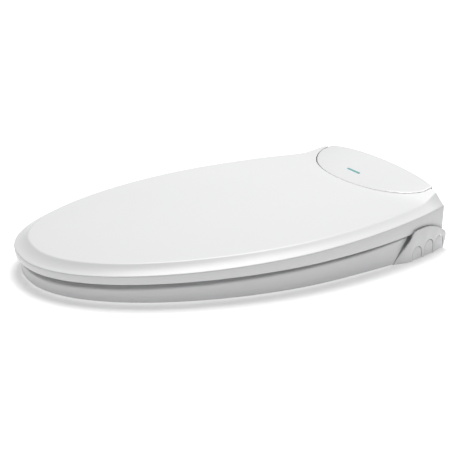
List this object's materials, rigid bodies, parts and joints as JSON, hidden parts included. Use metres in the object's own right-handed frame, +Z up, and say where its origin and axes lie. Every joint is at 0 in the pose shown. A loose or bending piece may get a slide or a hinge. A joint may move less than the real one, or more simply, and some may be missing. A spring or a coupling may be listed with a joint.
{
  "type": "electric bidet seat",
  "caption": "Low-profile electric bidet toilet seat: white heated seat ring and lid hinged on a slim rear housing with side buttons, sliding wash nozzles, dryer and mounting bracket.",
  "frame": {"origin": "midway between the two mounting slots, on the underside of the mounting bracket, where it meets the bowl", "axes": "+Z up; -Y towards the tip of the seat, so +Y towards the wall; +X to the seated user's left"},
  "size_m": [0.384, 0.5385, 0.087],
  "materials": {
    "white_gloss": "satin gloss",
    "white_soft": "fine matte",
    "panel_gloss": "gloss",
    "status_lens": "gloss",
    "grey_rubber": "matte",
    "dark_plastic": "matte",
    "grey_plastic": "matte",
    "board_green": "gloss",
    "steel": "brushed",
    "heater_foil": "foil",
    "hose": "matte",
    "lens_white": "gloss"
  },
  "bodies": {
    "base": {"base_tray": "white_soft", "housing_cover": "white_gloss", "top_panel": "panel_gloss", "status_window": "status_lens", "control_side_cover": "white_gloss", "plain_side_cover": "white_gloss", "button_board": "board_green", "main_board": "board_green", "board_cover": "white_soft", "water_heater": "white_soft", "inlet_valve": "dark_plastic", "inlet_fitting": "steel", "inlet_strainer": "grey_plastic", "supply_hose": "hose", "flow_divider": "white_soft", "wash_hose": "hose", "nozzle_guide": "white_soft", "nozzle_guard": "white_gloss", "nozzle_motors": "steel", "dryer_housing": "dark_plastic", "dryer_motor": "steel", "dryer_duct": "dark_plastic", "dryer_grille": "white_soft", "deodorizer_housing": "dark_plastic", "hinge_pins": "steel", "hinge_dampers": "dark_plastic", "cord_gland": "grey_rubber", "night_light": "lens_white", "base_feet": "grey_rubber", "base_screws": "steel"},
    "rear_nozzle": {"rear_nozzle": "white_gloss"},
    "front_nozzle": {"front_nozzle": "white_gloss"},
    "dryer_impeller": {"dryer_impeller": "dark_plastic"},
    "deodorizer_impeller": {"deodorizer_impeller": "dark_plastic"},
    "filter_cartridge": {"filter_cartridge": "grey_plastic"},
    "release_button": {"release_button": "grey_plastic"},
    "mounting_bracket": {"mounting_bracket": "white_soft", "bracket_pad": "grey_rubber"},
    "stop_button": {"stop_button": "white_gloss"},
    "rear_wash_button": {"rear_wash_button": "white_gloss"},
    "front_wash_button": {"front_wash_button": "white_gloss"},
    "seat": {"seat_top_shell": "white_gloss", "seat_bottom_shell": "white_soft", "seat_heater": "heater_foil", "seat_bumpers": "grey_rubber", "seat_hinge_arms": "white_gloss"},
    "lid": {"lid_shell": "white_gloss", "lid_bumpers": "grey_rubber", "lid_hinge_lugs": "white_gloss"}
  },
  "joints": [
    {"name": "seat_hinge", "type": "hinge", "parent": "base", "child": "seat", "pos_m": [0, 0.05, 0.065], "axis": [-1, 0, 0], "range_deg": [0, 92]},
    {"name": "lid_hinge", "type": "hinge", "parent": "seat", "child": "lid", "pos_m": [0, 0.05, 0.065], "axis": [1, 0, 0], "range_deg": [-102, 0]},
    {"name": "rear_nozzle_slide", "type": "slide", "parent": "base", "child": "rear_nozzle", "axis": [0, -0.866, -0.5], "range_m": [0, 0.07]},
    {"name": "front_nozzle_slide", "type": "slide", "parent": "base", "child": "front_nozzle", "axis": [0, -0.866, -0.5], "range_m": [0, 0.07]},
    {"name": "dryer_fan_spin", "type": "hinge", "parent": "base", "child": "dryer_impeller", "pos_m": [0.063, 0.025, 0.02], "axis": [0, 0, 1], "continuous": true},
    {"name": "deodorizer_fan_spin", "type": "hinge", "parent": "base", "child": "deodorizer_impeller", "pos_m": [-0.098, -0.002, 0.015], "axis": [0, 0, 1], "continuous": true},
    {"name": "filter_slide", "type": "slide", "parent": "base", "child": "filter_cartridge", "axis": [-1, 0, 0], "range_m": [0, 0.06]},
    {"name": "bracket_slide", "type": "slide", "parent": "base", "child": "mounting_bracket", "axis": [0, 1, 0], "range_m": [0, 0.09]},
    {"name": "release_press", "type": "slide", "parent": "base", "child": "release_button", "axis": [1, 0, 0], "range_m": [0, 0.003], "stiffness_N_per_m": 600},
    {"name": "stop_button_press", "type": "hinge", "parent": "base", "child": "stop_button", "pos_m": [0.17228, -0.006, 0.0018], "axis": [-0.2494, -0.9684, 0], "range_deg": [0, 4], "stiffness_Nm_per_rad": 0.3},
    {"name": "rear_wash_button_press", "type": "hinge", "parent": "base", "child": "rear_wash_button", "pos_m": [0.1655, 0.0185, 0.0018], "axis": [-0.2838, -0.9589, 0], "range_deg": [0, 4], "stiffness_Nm_per_rad": 0.3},
    {"name": "front_wash_button_press", "type": "hinge", "parent": "base", "child": "front_wash_button", "pos_m": [0.15845, 0.041, 0.0018], "axis": [-0.3145, -0.9493, 0], "range_deg": [0, 4], "stiffness_Nm_per_rad": 0.3}
  ]
}
